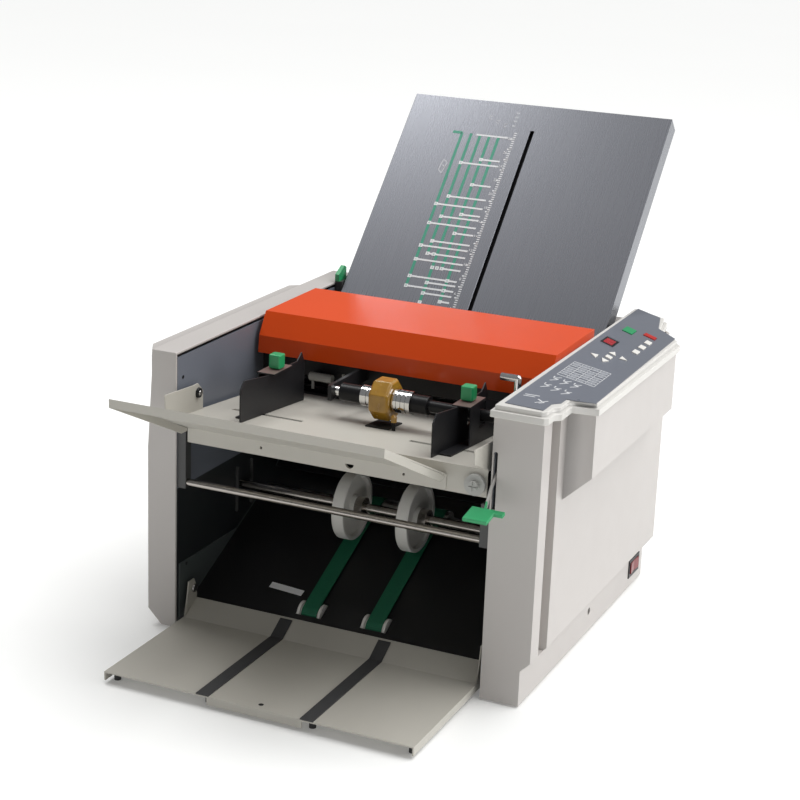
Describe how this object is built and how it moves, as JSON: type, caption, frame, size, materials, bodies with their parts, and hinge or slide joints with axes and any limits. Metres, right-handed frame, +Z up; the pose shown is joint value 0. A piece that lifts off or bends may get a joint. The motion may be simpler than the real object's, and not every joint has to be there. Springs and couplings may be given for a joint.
{
  "type": "paper folding machine",
  "caption": "Desktop friction-feed paper folding machine with tilting feed table, sliding guides, fold rollers, tall fold plate, control panel and belt stacker tray.",
  "frame": {"origin": "Middle of the base of the whole machine's bounding box, on the floor plane.", "axes": "+X to the right seen from the front, +Y from the stacker tray to the rear fold plates, +Z up."},
  "size_m": [0.502, 0.722, 0.508],
  "materials": {
    "painted_light": "satin light grey paint",
    "cover_plastic": "light warm grey moulded plastic",
    "lid_plastic": "off-white moulded plastic",
    "frame_paint": "blue-grey paint",
    "black_paint": "satin black paint",
    "table_paint": "beige-grey paint",
    "orange_paint": "glossy orange paint",
    "plate_metal": "grey satin sheet",
    "steel": "ground steel",
    "chromed": "polished chrome",
    "black_plastic": "satin black plastic",
    "film": "dark blue-grey printed film",
    "green_plastic": "green plastic",
    "red_plastic": "red plastic",
    "white_plastic": "white plastic",
    "belt_green": "dark green belt",
    "rubber_black": "black rubber",
    "tyre_amber": "amber feed rubber"
  },
  "bodies": {
    "chassis": {"frame_left": "frame_paint", "frame_right": "frame_paint", "base_plate": "black_paint", "rubber_feet": "rubber_black", "front_tie_rod": "steel", "wall_brackets": "steel", "cabinet_shell": "cover_plastic", "cabinet_lid": "lid_plastic", "control_overlay": "film", "power_fittings": "black_plastic", "left_cover": "cover_plastic", "rear_cover": "painted_light", "electrics": "steel", "sheet_guides": "black_paint", "cross_beams": "black_paint", "frame_screws": "steel", "shaft_bushes": "steel", "stacker_belts": "belt_green", "drive_belts": "rubber_black", "fold_plate_upper": "plate_metal", "fold_plate_lower": "plate_metal"},
    "tray": {"stacker_tray": "table_paint", "tray_strips": "rubber_black"},
    "table": {"feed_table": "table_paint", "table_extension": "table_paint", "separator_pad": "rubber_black"},
    "guide_right": {"side_guide_right": "black_paint"},
    "guide_left": {"side_guide_left": "black_paint"},
    "knob_right": {"guide_knob_right": "green_plastic"},
    "knob_left": {"guide_knob_left": "green_plastic"},
    "feed": {"feed_shaft": "steel", "feed_tyre": "tyre_amber", "feed_sleeves": "black_plastic"},
    "lever": {"table_lever": "green_plastic"},
    "dial": {"skew_dial": "steel"},
    "pressure": {"pressure_lever": "chromed"},
    "cover": {"roller_cover": "orange_paint"},
    "roller_middle": {"fold_roller_middle": "steel"},
    "roller_entry": {"fold_roller_entry": "steel"},
    "roller_rear": {"fold_roller_rear": "steel"},
    "roller_exit": {"fold_roller_exit": "steel"},
    "belt_roller": {"belt_drive_roller": "steel"},
    "pulleys": {"front_pulleys": "white_plastic"},
    "wheels": {"wheel_shaft": "steel", "delivery_wheels": "white_plastic"},
    "motor_shaft": {"motor_pulley": "steel"},
    "rocker": {"power_rocker": "red_plastic"},
    "stop_upper": {"fold_stop_upper": "steel"},
    "stop_lower": {"fold_stop_lower": "steel"},
    "lock": {"plate_lock_lever": "green_plastic"},
    "button_start": {"key_start": "green_plastic"},
    "button_stop": {"key_stop": "red_plastic"},
    "button_function_1": {"key_function_1": "white_plastic"},
    "button_function_2": {"key_function_2": "white_plastic"},
    "button_function_3": {"key_function_3": "white_plastic"},
    "button_centre": {"key_centre": "white_plastic"},
    "button_left": {"key_left": "white_plastic"},
    "button_right": {"key_right": "white_plastic"},
    "button_up": {"key_up": "white_plastic"},
    "button_down": {"key_down": "white_plastic"}
  },
  "joints": [
    {"name": "tray_fold", "type": "hinge", "parent": "chassis", "child": "tray", "pos_m": [-0.011, -0.18769, 0.0397], "axis": [-1, 0, 0], "range_deg": [0, 70]},
    {"name": "lever_swing", "type": "hinge", "parent": "chassis", "child": "lever", "pos_m": [0.1675, -0.17999, 0.256], "axis": [-1, 0, 0], "range_deg": [-14, 10]},
    {"name": "table_tilt", "type": "hinge", "parent": "chassis", "child": "table", "pos_m": [-0.011, -0.17999, 0.256], "axis": [-1, 0, 0], "range_deg": [-2.5, 3.5]},
    {"name": "guide_right_slide", "type": "slide", "parent": "table", "child": "guide_right", "axis": [1, 0, 0], "range_m": [-0.04, 0.032]},
    {"name": "guide_left_slide", "type": "slide", "parent": "table", "child": "guide_left", "axis": [-1, 0, 0], "range_m": [-0.04, 0.032]},
    {"name": "knob_right_push", "type": "slide", "parent": "guide_right", "child": "knob_right", "axis": [0, 0, 1], "range_m": [-0.0009, 0], "stiffness_N_per_m": 300},
    {"name": "knob_left_push", "type": "slide", "parent": "guide_left", "child": "knob_left", "axis": [0, 0, 1], "range_m": [-0.0009, 0], "stiffness_N_per_m": 300},
    {"name": "roller_middle_turn", "type": "hinge", "parent": "chassis", "child": "roller_middle", "pos_m": [-0.011, 0.07101, 0.196], "axis": [1, 0, 0], "continuous": true},
    {"name": "roller_entry_turn", "type": "hinge", "parent": "chassis", "child": "roller_entry", "pos_m": [-0.011, 0.05586, 0.22224], "axis": [1, 0, 0], "continuous": true},
    {"name": "roller_rear_turn", "type": "hinge", "parent": "chassis", "child": "roller_rear", "pos_m": [-0.011, 0.10028, 0.20384], "axis": [1, 0, 0], "continuous": true},
    {"name": "roller_exit_turn", "type": "hinge", "parent": "chassis", "child": "roller_exit", "pos_m": [-0.011, 0.07101, 0.1657], "axis": [1, 0, 0], "continuous": true},
    {"name": "feed_turn", "type": "hinge", "parent": "chassis", "child": "feed", "pos_m": [-0.011, -0.10599, 0.259], "axis": [1, 0, 0], "continuous": true},
    {"name": "belt_roller_turn", "type": "hinge", "parent": "chassis", "child": "belt_roller", "pos_m": [-0.011, -0.00792, 0.09885], "axis": [1, 0, 0], "continuous": true},
    {"name": "pulleys_turn", "type": "hinge", "parent": "chassis", "child": "pulleys", "pos_m": [-0.011, -0.16199, 0.027], "axis": [1, 0, 0], "continuous": true},
    {"name": "wheels_turn", "type": "hinge", "parent": "chassis", "child": "wheels", "pos_m": [-0.011, -0.07399, 0.122], "axis": [1, 0, 0], "continuous": true},
    {"name": "motor_turn", "type": "hinge", "parent": "chassis", "child": "motor_shaft", "pos_m": [0.193, 0.15601, 0.07], "axis": [1, 0, 0], "continuous": true},
    {"name": "cover_open", "type": "hinge", "parent": "chassis", "child": "cover", "pos_m": [-0.011, 0.08301, 0.288], "axis": [-1, 0, 0], "range_deg": [0, 58]},
    {"name": "pressure_swing", "type": "hinge", "parent": "chassis", "child": "pressure", "pos_m": [0.147, -0.10899, 0.275], "axis": [1, 0, 0], "range_deg": [-12, 12]},
    {"name": "dial_turn", "type": "hinge", "parent": "table", "child": "dial", "pos_m": [0.147, -0.20899, 0.2235], "axis": [0, -1, 0], "range_deg": [-45, 45]},
    {"name": "stop_upper_slide", "type": "slide", "parent": "chassis", "child": "stop_upper", "axis": [0, 0.6871, 0.7266], "range_m": [0, 0.254]},
    {"name": "stop_lower_slide", "type": "slide", "parent": "chassis", "child": "stop_lower", "axis": [0, 0.9397, -0.342], "range_m": [0, 0.14]},
    {"name": "lock_turn", "type": "hinge", "parent": "chassis", "child": "lock", "pos_m": [-0.183, 0.15901, 0.3075], "axis": [0, 0, 1], "range_deg": [-12, 12]},
    {"name": "rocker_tilt", "type": "hinge", "parent": "chassis", "child": "rocker", "pos_m": [0.2015, 0.15001, 0.0245], "axis": [0, 0, 1], "range_deg": [-6, 6]},
    {"name": "key_start_push", "type": "slide", "parent": "chassis", "child": "button_start", "axis": [0, 0, 1], "range_m": [-0.0008, 0], "stiffness_N_per_m": 60},
    {"name": "key_stop_push", "type": "slide", "parent": "chassis", "child": "button_stop", "axis": [0, 0, 1], "range_m": [-0.0008, 0], "stiffness_N_per_m": 60},
    {"name": "key_function_1_push", "type": "slide", "parent": "chassis", "child": "button_function_1", "axis": [0, 0, 1], "range_m": [-0.0008, 0], "stiffness_N_per_m": 60},
    {"name": "key_function_2_push", "type": "slide", "parent": "chassis", "child": "button_function_2", "axis": [0, 0, 1], "range_m": [-0.0008, 0], "stiffness_N_per_m": 60},
    {"name": "key_function_3_push", "type": "slide", "parent": "chassis", "child": "button_function_3", "axis": [0, 0, 1], "range_m": [-0.0008, 0], "stiffness_N_per_m": 60},
    {"name": "key_centre_push", "type": "slide", "parent": "chassis", "child": "button_centre", "axis": [0, 0, 1], "range_m": [-0.0008, 0], "stiffness_N_per_m": 60},
    {"name": "key_left_push", "type": "slide", "parent": "chassis", "child": "button_left", "axis": [0, 0, 1], "range_m": [-0.0008, 0], "stiffness_N_per_m": 60},
    {"name": "key_right_push", "type": "slide", "parent": "chassis", "child": "button_right", "axis": [0, 0, 1], "range_m": [-0.0008, 0], "stiffness_N_per_m": 60},
    {"name": "key_up_push", "type": "slide", "parent": "chassis", "child": "button_up", "axis": [0, 0, 1], "range_m": [-0.0008, 0], "stiffness_N_per_m": 60},
    {"name": "key_down_push", "type": "slide", "parent": "chassis", "child": "button_down", "axis": [0, 0, 1], "range_m": [-0.0008, 0], "stiffness_N_per_m": 60}
  ],
  "couplings": [
    {"joint": "table_tilt", "follows": "lever_swing", "ratio": -0.24},
    {"joint": "guide_left_slide", "follows": "guide_right_slide", "ratio": 1},
    {"joint": "roller_entry_turn", "follows": "roller_middle_turn", "ratio": -1},
    {"joint": "roller_rear_turn", "follows": "roller_middle_turn", "ratio": -1},
    {"joint": "roller_exit_turn", "follows": "roller_middle_turn", "ratio": -1},
    {"joint": "feed_turn", "follows": "roller_middle_turn", "ratio": 1},
    {"joint": "belt_roller_turn", "follows": "roller_middle_turn", "ratio": -1},
    {"joint": "pulleys_turn", "follows": "roller_middle_turn", "ratio": -1},
    {"joint": "wheels_turn", "follows": "roller_middle_turn", "ratio": 0.29333},
    {"joint": "motor_turn", "follows": "roller_middle_turn", "ratio": 2.5}
  ]
}
